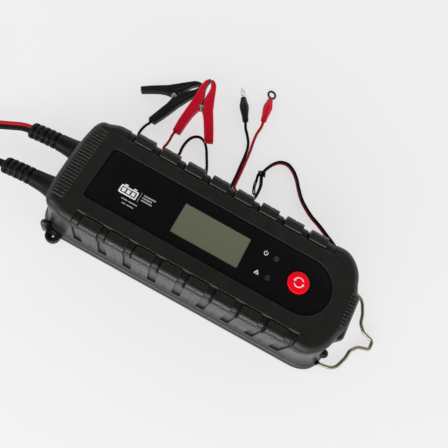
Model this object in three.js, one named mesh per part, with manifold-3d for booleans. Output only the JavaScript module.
// Automatic 6/12 V battery charger: a two-part moulded case with a display panel,
// a wire hanging bail, a mains lead, a low-voltage lead, and two accessory leads
// (one with spring clamps, one with ring terminals).
// Millimetres. Origin: centre of the case's underside. +X towards the hanging bail,
// +Z up, +Y towards the side where the accessory leads lie.
import * as THREE from 'three';
import { mergeVertices } from 'three/addons/utils/BufferGeometryUtils.js';
import Module from 'manifold-3d';

const wasm = await Module();
wasm.setup();

// ---------------------------------------------------------------- dimensions
const CASE_TOP = 45;            // height of the cover's flat top
const COVER_LIP_Z = 35;         // lower edge of the cover
const SHELL_RIM_Z = 34.5;       // upper edge of the tub
const BAIL_POCKET = { x0: 58, x1: 102.8, y: 33.6, z: 5 };   // stowage pocket in the underside
const FLOOR_TOP = 7.4;          // inside face of the floor over the pocket
const FLOOR_LOW = 2.6;          // inside face of the floor elsewhere
const WALL = 2.6;
const FLANGE_Z = 4.5;           // height of the foot rim
const FLANGE_HALF_X = 107;
const FLANGE_HALF_Y = 39.6;
const FLANGE_R = 17;
const LUG_PITCH = 18.2;
const LUG_COUNT = 8;
const LUG_X0 = -71.9;           // left side of the first lug
const LUG_LEN = 12.4;
const LUG_IN_Y = 29.7;
const LUG_OUT_Y = 37.2;
const BAND_Z = 43.7;            // floor of the sunk side bands
const BAND_Y = 28.2;
const BAND_X = [-77.4, 75.5];
const PANEL_X0 = -80.1;
const PANEL_CX = 65;            // centre of the panel's round end
const PANEL_R = 18.8;
const PANEL_FLOOR = 43.9;
const COVER_CEILING = 41.5;     // inside face of the cover
const LCD = { x: -0.3, y: -0.6, w: 46.4, h: 21.2 };
const BUTTON = { x: 61.5, y: 0, r: 7.2, travel: 0.6 };
const LED_R = 1.7;
const LEDS = [[42.8, 6.9], [42.8, -6.9]];
const SCREWS = [[-79, 25], [-79, -25], [68, 25], [68, -25]];
const RELIEF = { y: 15.2, z: 14.6, x0: -92.6, x1: -142, r: 5.9 };
const BAIL_R = 1.25;
const BAIL_PIVOT = { x: 98, z: 2.6 };
const EAR = { x: -92, y: 41, r: 5.3, hole: 2.1, t: 4 };
const MAINS_W = 5.4, MAINS_T = 3.4;
const DC_R = 1.45;
const LEAD_R = 1.0;
const CLAMP_HALF_W = 3.9;
const CLAMP_Z = 4.2;
const RING_OR = 3.8, RING_IR = 2.2, RING_T = 0.9;
const BOOT_LEN = 19.5;

// ---------------------------------------------------------------- helpers
function toSolid(geometry) {
  let g = geometry.clone();
  for (const name of Object.keys(g.attributes)) if (name !== 'position') g.deleteAttribute(name);
  g = mergeVertices(g, 1e-4);
  const v = new Float32Array(g.attributes.position.array);
  let t = Uint32Array.from(g.index.array);
  const keep = [];
  for (let i = 0; i < t.length; i += 3) if (t[i] !== t[i + 1] && t[i + 1] !== t[i + 2] && t[i] !== t[i + 2]) keep.push(t[i], t[i + 1], t[i + 2]);
  t = Uint32Array.from(keep);
  let vol = 0;
  for (let i = 0; i < t.length; i += 3) {
    const a = t[i] * 3, b = t[i + 1] * 3, c = t[i + 2] * 3;
    vol += v[a] * (v[b + 1] * v[c + 2] - v[b + 2] * v[c + 1])
      + v[a + 1] * (v[b + 2] * v[c] - v[b] * v[c + 2])
      + v[a + 2] * (v[b] * v[c + 1] - v[b + 1] * v[c]);
  }
  if (vol < 0) for (let i = 0; i < t.length; i += 3) { const s = t[i]; t[i] = t[i + 1]; t[i + 1] = s; }
  return new wasm.Manifold(new wasm.Mesh({ numProp: 3, vertProperties: v, triVerts: t }));
}
function toGeometry(solid) {
  const m = solid.getMesh();
  const g = new THREE.BufferGeometry();
  g.setAttribute('position', new THREE.BufferAttribute(Float32Array.from(m.vertProperties), 3));
  g.setIndex(new THREE.BufferAttribute(Uint32Array.from(m.triVerts), 1));
  g.computeVertexNormals();
  return g;
}
const V2 = (x, y) => new THREE.Vector2(x, y);
const V3 = (x, y, z) => new THREE.Vector3(x, y, z);
function moved(geometry, x, y, z) { return geometry.clone().translate(x, y, z); }
function box(x0, x1, y0, y1, z0, z1) {
  return toSolid(moved(new THREE.BoxGeometry(x1 - x0, y1 - y0, z1 - z0), (x0 + x1) / 2, (y0 + y1) / 2, (z0 + z1) / 2));
}
// outline without repeated or in-line points
function tidy(points) {
  const n = points.length;
  return points.filter((p, i) => {
    const a = points[(i + n - 1) % n], b = points[(i + 1) % n];
    return Math.abs((p[0] - a[0]) * (b[1] - p[1]) - (p[1] - a[1]) * (b[0] - p[0])) > 1e-6;
  });
}
function prism(points, z0, z1) {
  const shape = new THREE.Shape(tidy(points).map((p) => V2(p[0], p[1])));
  return toSolid(moved(new THREE.ExtrudeGeometry(shape, { depth: z1 - z0, bevelEnabled: false }), 0, 0, z0));
}
// a prism whose section lies in the Y-Z plane and runs along X
function prismX(points, x0, x1) {
  const shape = new THREE.Shape(tidy(points).map((p) => V2(p[0], p[1])));
  const g = new THREE.ExtrudeGeometry(shape, { depth: x1 - x0, bevelEnabled: false });
  const m = new THREE.Matrix4().set(0, 0, 1, x0, 1, 0, 0, 0, 0, 1, 0, 0, 0, 0, 0, 1);
  return toSolid(g.applyMatrix4(m));
}
function cylZ(x, y, r, z0, z1, n = 12) {
  const g = new THREE.CylinderGeometry(r, r, z1 - z0, n).rotateX(Math.PI / 2);
  return toSolid(moved(g, x, y, (z0 + z1) / 2));
}
function cylY(x, z, r, y0, y1, n = 10) {
  const g = new THREE.CylinderGeometry(r, r, y1 - y0, n);
  return toSolid(moved(g, x, (y0 + y1) / 2, z));
}
function cylX(y, z, r, x0, x1, n = 12) {
  const g = new THREE.CylinderGeometry(r, r, x1 - x0, n).rotateZ(-Math.PI / 2);
  return toSolid(moved(g, (x0 + x1) / 2, y, z));
}
// turned body about the X axis from a closed [x, r] profile
function turnedX(profile, y, z, n = 12) {
  const pts = profile.map((p) => V2(p[1], p[0]));
  if (profile[0][1] > 0) pts.push(pts[0].clone());
  const g = new THREE.LatheGeometry(pts, n).rotateZ(-Math.PI / 2);
  return toSolid(moved(g, 0, y, z));
}
// closed loft through rings of equal point count, given as arrays of [x, y, z]
function loft(rings) {
  const n = rings[0].length, pos = [], idx = [];
  for (const r of rings) for (const p of r) pos.push(p[0], p[1], p[2]);
  for (let k = 0; k + 1 < rings.length; k++)
    for (let i = 0; i < n; i++) {
      const a = k * n + i, b = k * n + (i + 1) % n, c = a + n, d = b + n;
      idx.push(a, b, d, a, d, c);
    }
  const cap = (k, flip) => { // fan from the ring's centre
    const c = pos.length / 3, ring = rings[k];
    pos.push(ring.reduce((a, p) => a + p[0], 0) / n, ring.reduce((a, p) => a + p[1], 0) / n, ring.reduce((a, p) => a + p[2], 0) / n);
    for (let i = 0; i < n; i++) {
      const a = k * n + i, b = k * n + (i + 1) % n;
      if (flip) idx.push(c, b, a); else idx.push(c, a, b);
    }
  };
  cap(0, true);
  cap(rings.length - 1, false);
  const g = new THREE.BufferGeometry();
  g.setAttribute('position', new THREE.BufferAttribute(new Float32Array(pos), 3));
  g.setIndex(idx);
  return toSolid(g);
}
// outline moved inward by d (outward when d is negative)
function inset(outline, d) {
  const n = outline.length;
  return outline.map((p, i) => {
    const a = outline[(i + n - 1) % n], b = outline[(i + 1) % n];
    const e1 = V2(p[0] - a[0], p[1] - a[1]).normalize(), e2 = V2(b[0] - p[0], b[1] - p[1]).normalize();
    const m = V2(-e1.y - e2.y, e1.x + e2.x).normalize();
    const c = Math.max(0.6, m.x * -e1.y + m.y * e1.x);
    return [p[0] + m.x * d / c, p[1] + m.y * d / c];
  });
}
const ringAt = (outline, z) => outline.map((p) => [p[0], p[1], z]);
function mirrored(half) { // half runs from the -X end to the +X end on the +Y side
  const far = half.slice().reverse();                         // +X end to -X end, along +Y
  const near = half.slice(1, -1).map((p) => [p[0], -p[1]]);   // back along -Y
  return [...far, ...near];                                    // counter-clockwise
}
function roundRect(x0, x1, y0, y1, r, n = 3) {
  const out = [];
  for (const [cx, cy, a0] of [[x1 - r, y1 - r, 0], [x0 + r, y1 - r, 90], [x0 + r, y0 + r, 180], [x1 - r, y0 + r, 270]])
    for (let i = 0; i <= n; i++) {
      const a = (a0 + 90 * i / n) * Math.PI / 180;
      out.push([cx + r * Math.cos(a), cy + r * Math.sin(a)]);
    }
  return out;
}
// a curve through exactly the given points, one step per point
class PointPath extends THREE.Curve {
  constructor(points) { super(); this.points = points; }
  getPoint(t, target = new THREE.Vector3()) {
    const s = Math.min(Math.max(t, 0), 1) * (this.points.length - 1);
    const i = Math.min(Math.floor(s), this.points.length - 2);
    return target.lerpVectors(this.points[i], this.points[i + 1], s - i);
  }
  getPointAt(u, target) { return this.getPoint(u, target); }
  getTangent(t, target = new THREE.Vector3()) {
    const n = this.points.length - 1, i = Math.round(t * n);
    const a = this.points[Math.max(i - 1, 0)], b = this.points[i], c = this.points[Math.min(i + 1, n)];
    const d1 = V3().subVectors(b, a), d2 = V3().subVectors(c, b);
    if (d1.lengthSq() > 0) d1.normalize();
    if (d2.lengthSq() > 0) d2.normalize();
    return target.addVectors(d1, d2).normalize();
  }
  getTangentAt(u, target) { return this.getTangent(u, target); }
}
function sweep(points, section) {
  const shape = new THREE.Shape(section.map((p) => V2(p[0], p[1])));
  return new THREE.ExtrudeGeometry(shape, { steps: points.length - 1, bevelEnabled: false, extrudePath: new PointPath(points) });
}
function circle(r, n) { return Array.from({ length: n }, (_, i) => [r * Math.cos((2 * i + 1) * Math.PI / n), r * Math.sin((2 * i + 1) * Math.PI / n)]); }
// straight runs joined by arcs: waypoints are [x, y, z, bendRadius]
function route(way, per = 15) {
  const P = way.map((w) => V3(w[0], w[1], w[2])), out = [P[0]];
  for (let i = 1; i + 1 < P.length; i++) {
    const r = way[i][3] || 0, a = V3().subVectors(P[i - 1], P[i]).normalize(), b = V3().subVectors(P[i + 1], P[i]).normalize();
    const ang = a.angleTo(b), turn = Math.PI - ang;
    if (r === 0 || turn < 0.03) { out.push(P[i]); continue; }
    const d = r / Math.tan(ang / 2), centre = V3().addVectors(a, b).normalize().multiplyScalar(r / Math.sin(ang / 2)).add(P[i]);
    const s = P[i].clone().addScaledVector(a, d).sub(centre), e = P[i].clone().addScaledVector(b, d).sub(centre);
    const n = Math.max(2, Math.round(turn * 180 / Math.PI / per)), axis = V3().crossVectors(s, e).normalize();
    for (let k = 0; k <= n; k++) out.push(s.clone().applyAxisAngle(axis, turn * k / n).add(centre));
  }
  out.push(P[P.length - 1]);
  return out;
}
function smooth(points, n) {
  return new THREE.CatmullRomCurve3(points.map((p) => V3(...p)), false, 'centripetal').getSpacedPoints(n);
}
function shifted(points, fn) { // fn(i, tangent) gives the offset vector at each point
  const path = new PointPath(points), n = points.length - 1;
  return points.map((p, i) => p.clone().add(fn(i / n, path.getTangent(i / n))));
}

const group = new THREE.Group();
function add(name, geometryOrSolid, color, roughness, metalness = 0, parent = group) {
  const geometry = geometryOrSolid.getMesh ? toGeometry(geometryOrSolid) : toGeometry(toSolid(geometryOrSolid));
  const mesh = new THREE.Mesh(geometry, new THREE.MeshStandardMaterial({ color, roughness, metalness }));
  mesh.name = name;
  parent.add(mesh);
  return mesh;
}
const union = (list) => list.reduce((a, b) => a.add(b));
const BLACK = 0x17171a, SATIN = 0x1d1d1b, GLOSS = 0x0f1013, RED = 0xc8102e, STEEL = 0x8f8a7e, GREEN = 0x1c5a33;

// ---------------------------------------------------------------- outlines
const COVER_HALF = [
  [-100.5, 0], [-100.3, 10.9], [-99.5, 21.7], [-98.8, 25.8], [-97.6, 29.4], [-95.4, 31.7], [-91.4, 32.7],
  [-87.6, 34.4], [-82.5, 35.3], [-78, 35.6], [-40, 35.6], [0, 35.6], [40, 35.6], [75, 36.2], [80.4, 36.2], [85.0, 35.2],
  [89.3, 32.4], [92.8, 28.7], [95.6, 23.8], [97.2, 18.0], [99.0, 13.4], [100.6, 10.2], [101.3, 0]];
const CORE_HALF = [...COVER_HALF.slice(0, 4), [-96.5, 29.3], [-94.5, 31.3], [-89.7, 32.2], [-86.5, 34.0], ...COVER_HALF.slice(8)]; // softer corners, for the insides
const TUB_HALF = [ // the tub's wall just above the foot rim, point for point with the cover
  [-104.5, 0], [-104.5, 10.9], [-104.2, 21.2], [-103.2, 26.0], [-101.2, 30.2], [-98.2, 33.2], [-93.5, 35.4],
  [-88.5, 36.2], [-83.5, 36.2], [-78, 36.2], [-40, 36.2], [0, 36.2], [40, 36.2], [76, 36.4], [85.5, 36.6], [93, 35.2],
  [98.4, 31.8], [101.8, 27.2], [103.8, 21.5], [104.4, 16.5], [104.5, 12.6], [104.5, 9.4], [104.5, 0]];
const COVER = mirrored(COVER_HALF);
const CORE = mirrored(CORE_HALF);
const TUB = mirrored(TUB_HALF);
const blend = (a, b, t) => a.map((p, i) => [p[0] + (b[i][0] - p[0]) * t, p[1] + (b[i][1] - p[1]) * t]);
const FLANGE = roundRect(-FLANGE_HALF_X, FLANGE_HALF_X, -FLANGE_HALF_Y, FLANGE_HALF_Y, FLANGE_R, 5);

// ---------------------------------------------------------------- bottom shell
const rim = inset(COVER, 0.9);
let shell = loft([ringAt(inset(TUB, 0), 2), ringAt(TUB, 6), ringAt(blend(TUB, rim, 0.5), 16), ringAt(blend(TUB, rim, 0.85), 26), ringAt(rim, SHELL_RIM_Z)]);
shell = shell.add(loft([ringAt(FLANGE, 0), ringAt(FLANGE, FLANGE_Z - 1.4), ringAt(inset(FLANGE, 1.2), FLANGE_Z)]));
const lowBand = roundRect(-80, 79, -37.0, 37.0, 2, 1);
shell = shell.add(prism(lowBand, 3, 8.2));
for (let i = 0; i < LUG_COUNT; i++)
  for (const s of [1, -1]) {
    const x = LUG_X0 + i * LUG_PITCH, y0 = s > 0 ? 33 : -37.0, y1 = s > 0 ? 37.0 : -33;
    shell = shell.add(box(x, x + LUG_LEN, y0, y1, 7, SHELL_RIM_Z - 0.4));
  }
shell = shell.add(prism(roundRect(90, 105.6, -17.4, 17.4, 4, 3), 14, SHELL_RIM_Z));          // end block under the bail
for (const s of [1, -1]) {
  shell = shell.add(cylZ(105.6, s * 21.8, 3.0, 0, 6, 10));                                       // round bosses at the bail end
  shell = shell.add(cylZ(EAR.x, s * EAR.y, EAR.r, 0, EAR.t, 16));                               // fixing ears
  shell = shell.add(prism(s > 0 ? [[-97.3, 36], [-86.7, 36], [-86.7, 41], [-97.3, 41]] : [[-97.3, -41], [-86.7, -41], [-86.7, -36], [-97.3, -36]], 0, EAR.t));
  shell = shell.add(cylZ(-98.6, s * 36.2, 3.2, 0, 13, 10));                                     // gusset beside each ear
  shell = shell.add(turnedX([[-97.4, 0], [-97.4, 10.6], [-104, 10.4], [-107.5, 9.0], [-110, 8.4], [-110, 0]], s * RELIEF.y, RELIEF.z, 12));
}
shell = shell.subtract(loft([ringAt(inset(COVER, 0.9 + WALL), FLOOR_TOP), ringAt(inset(COVER, 0.9 + WALL), 40)]));
shell = shell.subtract(box(-90, 54, -30.5, 30.5, FLOOR_LOW, FLOOR_TOP + 0.5));
shell = shell.subtract(prism([[BAIL_POCKET.x0, -BAIL_POCKET.y], [92, -BAIL_POCKET.y], [BAIL_POCKET.x1, -24], [BAIL_POCKET.x1, 24], [92, BAIL_POCKET.y], [BAIL_POCKET.x0, BAIL_POCKET.y]], -1, BAIL_POCKET.z));
for (const [x, y] of SCREWS) shell = shell.add(cylZ(x, y, 4.4, x > 0 ? BAIL_POCKET.z - 4.9 : 0, 22, 10));
for (const [x, y] of SCREWS) shell = shell.subtract(cylZ(x, y, 3.3, -1, 9, 10)).subtract(cylZ(x, y, 1.85, 8, 24, 8));
for (const [x, y] of [[-60, 22], [-60, -22], [48, 22], [48, -22]]) shell = shell.add(cylZ(x, y, 3, FLOOR_LOW - 1, 10.7, 8));
for (const s of [1, -1]) {
  shell = shell.subtract(cylX(s * RELIEF.y, RELIEF.z, 6.6, -112, -90, 14));
  shell = shell.subtract(cylZ(EAR.x, s * EAR.y, EAR.hole, -1, 6, 12));
  // bail bearing block and the slot its leg leaves by
  const k0 = s > 0 ? 23.6 : -27.3, k1 = s > 0 ? 27.3 : -23.6;
  shell = shell.add(box(95.2, 100.6, k0, k1, 0.3, BAIL_POCKET.z + 1));
  shell = shell.subtract(cylY(BAIL_PIVOT.x, BAIL_PIVOT.z, 1.6, k0 - 1, k1 + 1, 12));
  shell = shell.subtract(box(94, 112, s > 0 ? 27.4 : -31.6, s > 0 ? 31.6 : -27.4, -1, FLANGE_Z - 0.1));
}
add('bottom_shell', shell, GLOSS, 0.32);

// ---------------------------------------------------------------- top cover
let cover = loft([
  ringAt(COVER, COVER_LIP_Z), ringAt(inset(COVER, -0.35), COVER_LIP_Z + 1.4), ringAt(COVER, 40.4),
  ringAt(inset(COVER, 1.2), 43.0), ringAt(inset(CORE, 3.0), 44.5), ringAt(inset(CORE, 5.2), CASE_TOP)]);
for (const s of [1, -1]) {
  cover = cover.subtract(prism(s > 0 ? roundRect(BAND_X[0], BAND_X[1], BAND_Y, 41, 1.5, 1) : roundRect(BAND_X[0], BAND_X[1], -41, -BAND_Y, 1.5, 1), BAND_Z, 46));
  for (let i = 0; i < LUG_COUNT; i++) {
    const x = LUG_X0 + i * LUG_PITCH;
    const sec = [[LUG_IN_Y, 42], [LUG_IN_Y, 44.6], [LUG_IN_Y + 0.4, CASE_TOP], [34.6, CASE_TOP], [36.6, 43.6], [LUG_OUT_Y, 41], [LUG_OUT_Y, COVER_LIP_Z + 0.2], [34.8, COVER_LIP_Z + 0.2]];
    cover = cover.add(prismX(s > 0 ? sec : sec.map((p) => [-p[0], p[1]]).reverse(), x, x + LUG_LEN));
  }
}
const panelOutline = (g) => {
  const out = [];
  for (let i = 0; i <= 12; i++) { const a = (-90 + 15 * i) * Math.PI / 180; out.push([PANEL_CX + (PANEL_R - g) * Math.cos(a), (PANEL_R - g) * Math.sin(a)]); }
  const x = PANEL_X0 + g, y = PANEL_R - g;
  out.push([x + 3.4, y], [x + 1, y - 1], [x, y - 3.4], [x, -y + 3.4], [x + 1, -y + 1], [x + 3.4, -y]);
  return out;
};
cover = cover.subtract(prism(panelOutline(0), PANEL_FLOOR, 46));
cover = cover.subtract(loft([ringAt(inset(CORE, 3.6), 30), ringAt(inset(CORE, 3.6), 38.5), ringAt(inset(CORE, 6), COVER_CEILING)]));
cover = cover.subtract(loft([ringAt(inset(COVER, 1.35), 30), ringAt(inset(COVER, 1.35), 36.3)]));
for (let i = 0; i < 23; i++) cover = cover.add(box(-96.6, -88.6, (i - 11) * 2.28 - 0.62, (i - 11) * 2.28 + 0.62, 43.2, 45.35).intersect(prism(inset(CORE, 3.2), 40, 46)));
for (let i = 0; i < 10; i++) cover = cover.add(box(95.9, 99.6, (i - 4.5) * 2.37 - 0.6, (i - 4.5) * 2.37 + 0.6, 42.2, 44.7).intersect(prism(inset(COVER, 1.3), 40, 46)));
for (const [x, y] of SCREWS) cover = cover.add(cylZ(x, y, 3.8, 22.4, 42, 10)).subtract(cylZ(x, y, 1.85, 20, 37, 8));
for (const [x, y] of [[-34, 12.4], [74, -12.4]]) cover = cover.add(cylZ(x, y, 1.3, 35.6, 42, 8));   // pegs that carry the display board
cover = cover.subtract(box(LCD.x - LCD.w / 2, LCD.x + LCD.w / 2, LCD.y - LCD.h / 2, LCD.y + LCD.h / 2, 40, 46));
cover = cover.subtract(cylZ(BUTTON.x, BUTTON.y, BUTTON.r + 0.5, 40, 46, 18));
for (const [x, y] of LEDS) cover = cover.subtract(cylZ(x, y, LED_R + 0.45, 40, 46, 10));
add('top_cover', cover, SATIN, 0.62);

// ---------------------------------------------------------------- case seal
const seal = loft([ringAt(inset(COVER, 1.75), SHELL_RIM_Z + 0.15), ringAt(inset(COVER, 1.75), 36.0)])
  .subtract(loft([ringAt(inset(COVER, 3.1), 34), ringAt(inset(COVER, 3.1), 37)]));
add('case_seal', seal, 0x0c0c0c, 0.9);

// ---------------------------------------------------------------- front panel and what shows through it
let panel = prism(panelOutline(0.3), PANEL_FLOOR + 0.05, PANEL_FLOOR + 0.5);
panel = panel.subtract(box(LCD.x - LCD.w / 2, LCD.x + LCD.w / 2, LCD.y - LCD.h / 2, LCD.y + LCD.h / 2, 40, 46));
panel = panel.subtract(cylZ(BUTTON.x, BUTTON.y, BUTTON.r + 0.4, 40, 46, 18));
for (const [x, y] of LEDS) panel = panel.subtract(cylZ(x, y, LED_R + 0.3, 40, 46, 10));
add('front_panel', panel, 0x08080a, 0.25);
add('lcd_window', prism(roundRect(LCD.x - LCD.w / 2 + 0.3, LCD.x + LCD.w / 2 - 0.3, LCD.y - LCD.h / 2 + 0.3, LCD.y + LCD.h / 2 - 0.3, 0.8, 2), 42.2, 44.2), 0x9aa08a, 0.08);
add('lcd_module', box(LCD.x - 26, LCD.x + 26, LCD.y - 12.6, LCD.y + 12.6, 38.5, 41.3), 0x6b6f58, 0.5);

// ---------------------------------------------------------------- mode button, its switch, lamps, display board
const cap = toSolid(new THREE.LatheGeometry([V2(0, 45.3), V2(4.8, 45.2), V2(6.4, 44.9), V2(BUTTON.r, 44.2), V2(BUTTON.r, 41.2), V2(9.3, 41.2), V2(9.3, 40.4), V2(2, 40.4), V2(2, 40.0), V2(0, 40.0)].reverse(), 18).rotateX(Math.PI / 2));
const capMesh = add('mode_button', cap, RED, 0.35);
capMesh.position.set(BUTTON.x, BUTTON.y, 0);
add('tact_switch', box(BUTTON.x - 3, BUTTON.x + 3, BUTTON.y - 3, BUTTON.y + 3, 37.9, 38.8).add(cylZ(BUTTON.x, BUTTON.y, 1.7, 38.5, 39.2, 10)), 0x2a2a2a, 0.5);
LEDS.forEach(([x, y], i) => {
  const led = toSolid(new THREE.LatheGeometry([V2(0, 38.0), V2(LED_R, 38.0), V2(LED_R, 43.9), V2(1.2, 44.4), V2(0, 44.6)], 10).rotateX(Math.PI / 2));
  const mesh = add(i === 0 ? 'power_lamp' : 'error_lamp', led, i === 0 ? 0x5a5a58 : 0x5a2b2b, 0.2);
  mesh.position.set(x, y, 0);
});
let board = prism(roundRect(-38, 78, -15.5, 15.5, 2, 1), 36.2, 37.8);
for (const [x, y] of [[-34, 12.4], [74, -12.4]]) board = board.subtract(cylZ(x, y, 1.75, 35, 39, 8));
add('display_board', board, GREEN, 0.5);

// ---------------------------------------------------------------- power electronics
let main = prism(roundRect(-86, 62, -28, 28, 2, 1), 10.9, 12.5);
for (const [x, y] of SCREWS.slice(0, 2)) main = main.subtract(cylZ(x, y, 5.0, 9, 14));
main = main.subtract(box(-87, -70, 19, 29, 9, 14)).subtract(box(-87, -70, -29, -19, 9, 14));
add('main_board', main, GREEN, 0.5);
let core = box(-30, 2, -7, 7, 12.8, 34.6).subtract(box(-25, -19, -8, 8, 16.5, 31)).subtract(box(-9, -3, -8, 8, 16.5, 31));
add('transformer_core', core, 0x2b2b2e, 0.6, 0.2);
add('transformer_coil', box(-24.7, -3.3, -12, 12, 16.9, 30.6).subtract(box(-19.4, -8.6, -7.4, 7.4, 15, 33)), 0xd8b02a, 0.5);
add('input_capacitor', cylZ(-48, 12, 8, 12.8, 34, 14), 0x1d2b4a, 0.4);
add('output_capacitor', cylZ(34, 15, 6.3, 12.8, 33, 12), 0x1d2b4a, 0.4);
let sink = box(14, 54, -24, -21.5, 12.8, 34);
for (let i = 0; i < 5; i++) sink = sink.add(box(16 + i * 9, 18 + i * 9, -21.6, -15, 12.8, 34));
add('heatsink', sink, 0x9ba0a6, 0.4, 0.9);
add('power_transistor', box(28, 38, -28.9, -24.4, 14, 29), 0x191919, 0.5);
add('bridge_rectifier', box(-62, -40, -16, -12, 12.8, 27), 0x191919, 0.5);
add('fuse', cylX(0, 15.6, 2.5, -80, -60, 10), 0xcfd4d2, 0.2, 0.3);
add('relay', box(12, 31, -8, 7.5, 12.8, 28.5), 0x24406e, 0.45);

// ---------------------------------------------------------------- case screws
SCREWS.forEach(([x, y], i) => add('case_screw_' + (i + 1), cylZ(x, y, 2.8, 6.4, 8.7, 12).add(cylZ(x, y, 1.45, 8.4, 35, 8)), STEEL, 0.4, 0.9));

// ---------------------------------------------------------------- hanging bail
const bz = BAIL_PIVOT.z;
const legs = route([[BAIL_PIVOT.x, -23.8, bz], [BAIL_PIVOT.x, -29.4, bz, 1.6], [106.5, -29.2, bz, 14], [116.4, -27.0, bz, 5], [121.2, -17, bz, 10], [122.3, -10.5, bz, 6], [126.5, -5.6, bz, 5], [134.6, -3.2, bz, 2.6],
  [134.6, 3.2, bz, 2.6], [126.5, 5.6, bz, 5], [122.3, 10.5, bz, 6], [121.2, 17, bz, 10], [116.4, 27.0, bz, 5], [106.5, 29.2, bz, 14], [BAIL_PIVOT.x, 29.4, bz, 1.6], [BAIL_PIVOT.x, 23.8, bz]], 30);
add('hanging_bail', sweep(legs, circle(BAIL_R, 6)), 0xa8a08c, 0.35, 0.9);

// ---------------------------------------------------------------- cable strain reliefs
function relief(bore) {
  const prof = [[RELIEF.x0, bore], [RELIEF.x0, 7.0], [RELIEF.x0 - 2, 7.0], [RELIEF.x0 - 2, 6.2], [-110.3, 6.2], [-110.3, 8.2], [-112.2, 7.0], [-115.5, 6.3]];
  for (let i = 0; i < 5; i++) { const x = -121.5 - i * 4; prof.push([x, RELIEF.r + 0.2 - i * 0.06], [x, 4.5], [x - 1.5, 4.5], [x - 1.5, RELIEF.r + 0.15 - i * 0.06]); }
  prof.push([-141.4, 5.7], [RELIEF.x1, 5.0], [RELIEF.x1, bore]);
  return prof;
}
add('dc_strain_relief', turnedX(relief(3.4), RELIEF.y, RELIEF.z, 8), BLACK, 0.6);
add('mains_strain_relief', turnedX(relief(3.2), -RELIEF.y, RELIEF.z, 8), BLACK, 0.6);

// ---------------------------------------------------------------- mains lead and plug
const mainsRows = [-34, -48, -62, -84];
const mz = MAINS_T / 2 + 0.1;
const mains = route([[-90, -RELIEF.y, RELIEF.z], [-146, -RELIEF.y, RELIEF.z, 16], [-190, mainsRows[0], mz, 40], [-281, mainsRows[0], mz, 6.9], [-281, mainsRows[1], mz, 6.9], [-200, mainsRows[1], mz, 6.9],
  [-200, mainsRows[2], mz, 6.9], [-281, mainsRows[2], mz, 10.9], [-281, mainsRows[3], mz, 10.9], [-246, mainsRows[3], mz + 2, 20], [-225, mainsRows[3], 7.0]], 45);
const flat = [];
for (let i = 0; i <= 3; i++) { const a = (60 * i) * Math.PI / 180; flat.push([MAINS_T / 2 * Math.cos(a), (MAINS_W - MAINS_T) / 2 + MAINS_T / 2 * Math.sin(a)]); }
for (let i = 0; i <= 3; i++) { const a = (180 + 60 * i) * Math.PI / 180; flat.push([MAINS_T / 2 * Math.cos(a), -(MAINS_W - MAINS_T) / 2 + MAINS_T / 2 * Math.sin(a)]); }
add('mains_cable', sweep(mains, flat), BLACK, 0.55);
{ // body with a tapered grip, built along Z and laid along +X
  let g = toGeometry(loft([[7, 5.8, 3.4], [11, 7.6, 4.8], [20, 10.5, 6.4], [33, 17.4, 6.8], [39, 17.6, 6.8]].map(([z, hy, hz]) => roundRect(-hy, hy, -hz, hz, Math.min(hz, hy) * 0.7, 2).map((p) => [p[0], p[1], z]))));
  g.applyMatrix4(new THREE.Matrix4().set(0, 0, 1, -236, 1, 0, 0, mainsRows[3], 0, 1, 0, 7.0, 0, 0, 0, 1));
  let body = toSolid(g).subtract(cylX(mainsRows[3], 7.0, 3.2, -240, -222, 12));
  for (const s of [1, -1]) body = body.subtract(cylX(mainsRows[3] + s * 9.3, 7.0, 2.3, -205, -190, 10));
  add('mains_plug', body, BLACK, 0.5);
  for (const s of [1, -1]) add(s > 0 ? 'plug_pin_1' : 'plug_pin_2', turnedX([[-204, 0], [-204, 2.0], [-179.4, 2.0], [-178, 1.0], [-178, 0]], mainsRows[3] + s * 9.3, 7.0, 10), 0xb9b6ae, 0.25, 0.95);
}

// ---------------------------------------------------------------- low-voltage lead
const dcRows = [-4, 11, 26, 41];
const dz = DC_R + 0.1;
const dc = route([[-90, RELIEF.y, RELIEF.z], [-146, RELIEF.y, RELIEF.z, 16], [-192, dcRows[0], dz, 40], [-281, dcRows[0], dz, 7.4], [-281, dcRows[1], dz, 7.4], [-214, dcRows[1], dz, 7.4],
  [-214, dcRows[2], dz, 7.4], [-281, dcRows[2], dz, 7.4], [-281, dcRows[3], dz, 7.4], [-250, dcRows[3], dz + 1.2, 12], [-238, dcRows[3], 4.6, 12], [-229, dcRows[3], 4.6]], 45);
const side = (t) => V3(-t.y, t.x, 0).normalize();
const pairOff = (k) => (u, t) => side(t).multiplyScalar(k * (DC_R + 0.06));
add('dc_wire_red', sweep(shifted(dc, pairOff(-1)), circle(DC_R, 6)), RED, 0.45);
add('dc_wire_black', sweep(shifted(dc, pairOff(1)), circle(DC_R, 6)), BLACK, 0.45);

// two-pole inline connector: cable end at x0, mating end at x0 + dir * length
function connector(name, x0, y, z, dir, r, gapY, gapZ) {
  const L = 25, X = (a) => x0 + dir * a;
  const b = (a0, a1, hy, hz) => box(Math.min(X(a0), X(a1)), Math.max(X(a0), X(a1)), y - hy, y + hy, z - hz, z + hz);
  let s = b(0, 6, Math.max(3.4, r * 2 + gapY + 0.9), Math.max(3.2, r * 2 + gapZ + 0.9) * (gapZ > 0 ? 0.9 : 1)).add(b(5, 20, 4.5, 4.1)).add(b(18, L, 3.6, 3.2));
  for (const k of [1, -1]) {
    const hy = y + k * gapY, hz = z + k * gapZ;
    s = s.subtract(cylX(hy, hz, r + 0.3, Math.min(X(-1), X(6)), Math.max(X(-1), X(6)), 8));
  }
  for (const k of [1, -1]) s = s.subtract(box(Math.min(X(21), X(26)), Math.max(X(21), X(26)), y + k * 1.7 - 0.9, y + k * 1.7 + 0.9, z - 0.9, z + 0.9));
  add(name, s, BLACK, 0.5);
}
connector('dc_connector', -233.5, dcRows[3], 4.6, 1, DC_R, DC_R + 0.06, 0);

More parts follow.
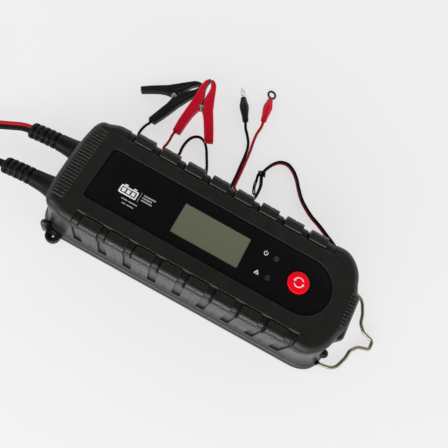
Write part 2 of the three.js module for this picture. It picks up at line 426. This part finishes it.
// ---------------------------------------------------------------- spring clamps
// Local frame of a clamp: pivot at the origin, +X to the jaw tips, +Y to the fixed half, Z along the rivet.
const SLEEVE = [[25, 0.4], [24.3, 2.5], [20.5, 5.0], [14, 5.8], [8, 6.8], [0, 8.7], [-6, 10.3], [-15, 13.2], [-24.4, 15.6], [-26.7, 10.3],
  [-17.5, 6.9], [-10.5, 4.4], [-6.2, 2.7], [-4.6, 3.9], [-3.2, 5.1], [1.5, 5.1], [4.6, 3.2], [5.6, 1.9], [10.5, 2.75], [16, 3.0], [21.5, 2.2], [24.4, 0.75]];
const JAW_STRIP = [[24.1, 0.12], [21.2, 1.0], [16, 1.55], [10.5, 1.25], [6, 0.35], [3.4, 0.3], [3.4, 1.5], [5.8, 1.55], [10.5, 2.4], [16, 2.65], [21.6, 1.85], [24.1, 0.55]];
const ARM_STRIP = [[-3.0, 3.3], [-3.0, 4.7], [-22.2, 11.4], [-22.6, 10.3], [-4.0, 3.4]];
const EAR_LINK = [[-3.6, 4.4], [-3.0, 2.2], [0, 0], [3.9, 0.35], [3.9, 1.45], [0.5, 4.4]];
const WIRE_DIR = Math.atan2(10.4, -26.0);
function clampHalf(side, earIn, earOut) {
  const f = (pts) => side > 0 ? pts : pts.map((p) => [p[0], -p[1]]).reverse();
  const W = CLAMP_HALF_W;
  let sleeve = prism(f(SLEEVE), -W, W);
  for (const k of [1, -1]) { // jaws narrow towards the tip
    const wedge = box(0, 34, -20, 20, 0, 6).rotate([0, 2.4 * 1, 0]).translate([5, 0, W]);
    sleeve = sleeve.subtract(k > 0 ? wedge : wedge.mirror([0, 0, 1]));
  }
  const armPocket = f([[-2.4, 2.9], [-2.4, 5.2], [-22.4, 12.1], [-23.2, 9.9], [-4.2, 3.0]]);
  sleeve = sleeve.subtract(prism(armPocket, -3.2, 3.2));
  const strips = prism(f(JAW_STRIP), -2.85, 2.85).add(prism(f(ARM_STRIP), -2.85, 2.85));
  let metal = strips;
  for (const k of [1, -1]) {
    const z0 = k > 0 ? earIn : -earOut, z1 = k > 0 ? earOut : -earIn;
    metal = metal.add(cylZ(0, 0, 3.0, z0, z1, 10)).add(prism(f(EAR_LINK), z0, z1));
  }
  metal = metal.subtract(cylZ(0, 0, 1.5, -5, 5, 8));
  return { sleeve, metal };
}
const rad = Math.PI / 180;
// turn about Z, then the tip raised by pitch, then the fixed half lowered by roll
const clampEuler = (pose) => new THREE.Euler(-pose.roll * rad, -pose.pitch * rad, pose.turn * rad, 'ZYX');
function clampPair(prefix, colour, pose, fixedSide) {
  const node = new THREE.Group();
  node.position.set(...pose.at);
  node.rotation.copy(clampEuler(pose));
  group.add(node);
  const A = clampHalf(fixedSide, 2.25, 2.85), B = clampHalf(-fixedSide, 1.35, 1.95);
  // the wire enters the end of the fixed half's sleeve
  const tubeCut = toSolid(moved(new THREE.CylinderGeometry(LEAD_R + 0.35, LEAD_R + 0.35, 6, 8).rotateZ(Math.PI / 2), 0, 0, 0).rotateZ(fixedSide > 0 ? WIRE_DIR - Math.PI : Math.PI - WIRE_DIR).translate(-24.6, fixedSide * 12.4, 0));
  add(prefix + '_fixed_sleeve', A.sleeve.subtract(tubeCut), colour, 0.4, 0, node);
  add(prefix + '_moving_sleeve', B.sleeve, colour, 0.4, 0, node);
  add(prefix + '_fixed_jaw', A.metal, STEEL, 0.35, 0.9, node);
  add(prefix + '_moving_jaw', B.metal, STEEL, 0.35, 0.9, node);
  add(prefix + '_rivet', cylZ(0, 0, 1.15, -3.6, 3.6, 8).add(cylZ(0, 0, 2.1, 3.05, 3.65, 8)).add(cylZ(0, 0, 2.1, -3.65, -3.05, 8)), STEEL, 0.35, 0.9, node);
  add(prefix + '_spring', cylZ(0, 0, 2.5, -1.15, 1.15, 12).subtract(cylZ(0, 0, 1.65, -2, 2, 10)), STEEL, 0.35, 0.9, node);
}
const RED_CLAMP = { at: [-52.4, 94.2, 11.0], turn: 100.4, pitch: 4, roll: 5 };      // rests on the lead's loop and on the other clamp's tip
const BLACK_CLAMP = { at: [-76.0, 95.6, CLAMP_Z], turn: 56.0, pitch: 0, roll: 0 };
clampPair('red_clamp', RED, RED_CLAMP, 1);
clampPair('black_clamp', BLACK, BLACK_CLAMP, -1);
function clampPoint(pose, x, y) {
  const p = V3(x, y, 0).applyEuler(clampEuler(pose));
  return [pose.at[0] + p.x, pose.at[1] + p.y, pose.at[2] + p.z];
}

// ---------------------------------------------------------------- clamp lead
const lz = LEAD_R + 0.1, uz = 3 * LEAD_R + 0.22;
const loopA = [[-49.8, 55.0], [-50.2, 62.5], [-49.6, 69.1], [-47.4, 74.0], [-43.4, 76.6], [-39.2, 75.6], [-35.2, 71.8], [-31.3, 65.3], [-27.6, 58.6], [-25.9, 54.6], [-24.4, 50.6], [-22.6, 47.2], [-17.2, 45.6], [-13, 45.6]];
const redStart = [clampPoint(RED_CLAMP, -24.2, 12.2), clampPoint(RED_CLAMP, -27.5, 13.2), [-61.1, 63.2, 2.2]];
const blackStart = [clampPoint(BLACK_CLAMP, -24.2, -12.2), clampPoint(BLACK_CLAMP, -27.5, -13.4), [-81.8, 63.8, 2.2]];
const rise = (pts, z) => pts.map(([x, y]) => [x, y, z]);
const redLead = [...redStart, [-61.4, 59.6, lz], [-61.9, 55.4, lz], [-59.0, 51.9, lz], [-53.4, 51.8, lz], ...rise(loopA.slice(0, 1), lz), ...rise(loopA.slice(1, -4).map(([x, y]) => [x, y + 1.0]), lz), ...rise(loopA.slice(-4, -2), lz), [-20.0, 45.8, 2.4], [-17.2, 45.6, 3.2], [-11.9, 45.6, 3.2]];
const blackLead = [...blackStart, [-83.0, 58.6, lz], [-82.4, 54.4, lz], [-78.8, 50.6, lz], [-72, 48.2, lz], [-62, 47.8, 1.4], [-55.2, 49.4, 2.8], ...rise(loopA.slice(0, -2), uz), [-20.0, 45.8, 4.6], [-17.2, 45.6, 5.4], [-11.9, 45.6, 5.4]];
add('clamp_wire_red', sweep(smooth(redLead, 34), circle(LEAD_R, 6)), RED, 0.45);
add('clamp_wire_black', sweep(smooth(blackLead, 38), circle(LEAD_R, 6)), BLACK, 0.45);
connector('clamp_connector', -17.4, 45.6, 4.3, 1, LEAD_R, 0, LEAD_R + 0.1);

// ---------------------------------------------------------------- ring-terminal lead
function ringTerminal(name, colourBoot, at, dirDeg, tilt, bootName, bootColour) {
  // local: +X from the wire towards the ring; the boot spans 0..BOOT_LEN
  const node = new THREE.Group();
  node.position.set(at[0], at[1], at[2]);
  node.rotation.z = dirDeg * Math.PI / 180;
  group.add(node);
  const ringNode = new THREE.Group();
  ringNode.rotation.x = tilt * Math.PI / 180;
  node.add(ringNode);
  const boot = turnedX([[0, 1.35], [0, 2.1], [6, 2.7], [12, 3.2], [16.5, 2.6], [BOOT_LEN, 1.9], [BOOT_LEN, 1.35]], 0, 0, 10);
  const ring = cylZ(BOOT_LEN + 0.6 + RING_OR, 0, RING_OR, -RING_T / 2, RING_T / 2, 18).subtract(cylZ(BOOT_LEN + 0.6 + RING_OR, 0, RING_IR, -2, 2, 14))
    .add(box(BOOT_LEN - 8, BOOT_LEN + 1.8, -0.9, 0.9, -RING_T / 2, RING_T / 2));
  add(bootName, boot, bootColour, 0.4, 0, node);
  add(name, ring, STEEL, 0.3, 0.9, ringNode);
}
const BLACK_BOOT = { at: [-20.2, 108.5, 3.8], dir: 121.3 };
const RED_BOOT = { at: [-8.0, 117.0, 3.4], dir: 100 };
ringTerminal('ring_terminal_black', BLACK, BLACK_BOOT.at, BLACK_BOOT.dir, 62, 'black_boot', BLACK);
ringTerminal('ring_terminal_red', RED, RED_BOOT.at, RED_BOOT.dir, 12, 'red_boot', RED);
const along = (b, d, z) => { const a = b.dir * Math.PI / 180; return [b.at[0] + d * Math.cos(a), b.at[1] + d * Math.sin(a), z]; };
const loopB = [[14.4, 55.4], [14.6, 58.6], [14.6, 62.4], [14.0, 67.0], [12.4, 71.2], [10.9, 75.6], [12.2, 81.8], [15.3, 88.2], [19.2, 92.1], [24.6, 93.4], [30.2, 91.1], [35.4, 86.4], [40.4, 79.8], [45.8, 73.4], [51.2, 69.1], [58, 64.9], [66.2, 61.4], [74.2, 57.4], [82.6, 53.0], [86.6, 49.2], [84.6, 45.4], [79.5, 44.9]];
const ringRed = [along(RED_BOOT, 8, 3.4), along(RED_BOOT, -1, 3.4), along(RED_BOOT, -6, 2.2), [-7.4, 104.6, lz], [-6.8, 97.4, lz], [-5.4, 88.6, lz], [-4.15, 76, lz], [-3.3, 64, lz], [-2.95, 58.6, lz], [-2.25, 55.4, lz], [0.4, 53.5, lz], [4.4, 53.2, lz], [9.4, 53.1, lz], [12.8, 53.5, lz], ...rise(loopB.slice(0, -2), lz), [84.2, 45.2, 2.2], [79.5, 44.9, 3.2], [74, 44.9, 3.2]];
const ringBlack = [along(BLACK_BOOT, 8, 3.8), along(BLACK_BOOT, -1, 3.8), along(BLACK_BOOT, -6, 2.3), [-13.4, 99.4, lz], [-9.9, 94.2, lz], [-8.1, 89.4, lz], [-6.9, 82, lz], [-6.2, 74, lz], [-5.3, 64, lz], [-5.0, 58.6, lz], [-4.6, 55.0, lz], [-2.6, 52.1, 1.2], [1.2, 51.4, 2.3], [5.4, 52.1, uz], [9.4, 52.7, uz], [12.8, 53.4, uz], ...rise(loopB.slice(0, -2), uz), [84.2, 45.2, 4.6], [79.5, 44.9, 5.4], [74, 44.9, 5.4]];
add('ring_wire_red', sweep(smooth(ringRed, 44), circle(LEAD_R, 6)), RED, 0.45);
add('ring_wire_black', sweep(smooth(ringBlack, 44), circle(LEAD_R, 6)), BLACK, 0.45);
connector('ring_connector', 78.6, 44.9, 4.3, -1, LEAD_R, 0, LEAD_R + 0.1);
// wire tie round the ring lead
const tie = sweep(route([[13.4, 75.9, 0.8, 0], [13.4, 75.9, 5.0, 0.9], [8.9, 73.9, 5.0, 0.9], [8.9, 73.9, 2.6, 0.8], [9.6, 70.2, 1.5, 2], [9.8, 65.6, 1.3, 6], [11.0, 61.4, 1.3, 3], [12.2, 58.8, 1.3, 0]], 45), circle(0.55, 6));
add('wire_tie', tie, BLACK, 0.6);

export default group;
